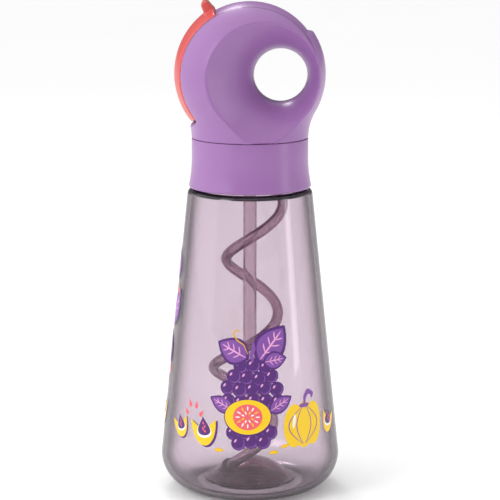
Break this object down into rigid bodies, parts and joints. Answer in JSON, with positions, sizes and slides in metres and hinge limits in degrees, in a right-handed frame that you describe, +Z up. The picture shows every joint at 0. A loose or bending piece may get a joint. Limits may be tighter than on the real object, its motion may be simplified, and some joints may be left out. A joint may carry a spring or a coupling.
{
  "type": "kids water bottle",
  "caption": "Clear tapered drinking bottle with a screw collar and a ball-shaped lid that has a finger hole, a sliding cover and a flip-up spout on a spiral straw.",
  "frame": {"origin": "centre of the bottle's foot, on the bottle's axis", "axes": "+Z up the bottle; the finger hole runs along Y; the sliding cover and spout are on the -X side, and -Y faces the viewer"},
  "size_m": [0.0806, 0.0806, 0.221],
  "materials": {
    "tinted_clear": "smooth, clear, tinted mauve",
    "straw_clear": "smooth, translucent mauve",
    "smoky_clear": "smooth, translucent dark mauve",
    "purple_shell": "satin moulded",
    "coral_cover": "satin moulded",
    "soft_seal": "matte silicone",
    "soft_spout": "matte silicone"
  },
  "bodies": {
    "bottle": {"bottle_body": "tinted_clear"},
    "lid": {"head_shell": "purple_shell", "base_plate": "purple_shell", "lid_gasket": "soft_seal", "spout_saddle": "purple_shell", "spout_seal": "soft_seal", "feed_duct": "soft_seal", "duct_gasket": "soft_seal", "vent_valve": "soft_seal", "vent_grommet": "soft_seal", "vent_straw": "straw_clear", "straw_grommet": "soft_seal", "spiral_straw": "straw_clear", "bell_foot": "smoky_clear"},
    "collar_ring": {"collar": "purple_shell"},
    "slider": {"slider_cover": "coral_cover"},
    "spout_arm": {"spout": "soft_spout", "spout_carrier": "purple_shell"}
  },
  "joints": [
    {"name": "lid_rise", "type": "slide", "parent": "bottle", "child": "lid", "axis": [0, 0, 1], "range_m": [0, 0.0068]},
    {"name": "collar_turn", "type": "hinge", "parent": "lid", "child": "collar_ring", "pos_m": [0, 0, 0.149], "axis": [0, 0, 1], "range_deg": [0, 540]},
    {"name": "slider_turn", "type": "hinge", "parent": "lid", "child": "slider", "pos_m": [0, 0, 0.18865], "axis": [0, 1, 0], "range_deg": [0, 82]},
    {"name": "spout_fold", "type": "hinge", "parent": "lid", "child": "spout_arm", "pos_m": [-0.0146, 0, 0.1668], "axis": [0, 1, 0], "range_deg": [-68.5, 0]}
  ],
  "couplings": [
    {"joint": "lid_rise", "follows": "collar_turn", "m_per_rad": 0.0007162},
    {"joint": "spout_fold", "follows": "slider_turn", "ratio": -0.8293}
  ]
}
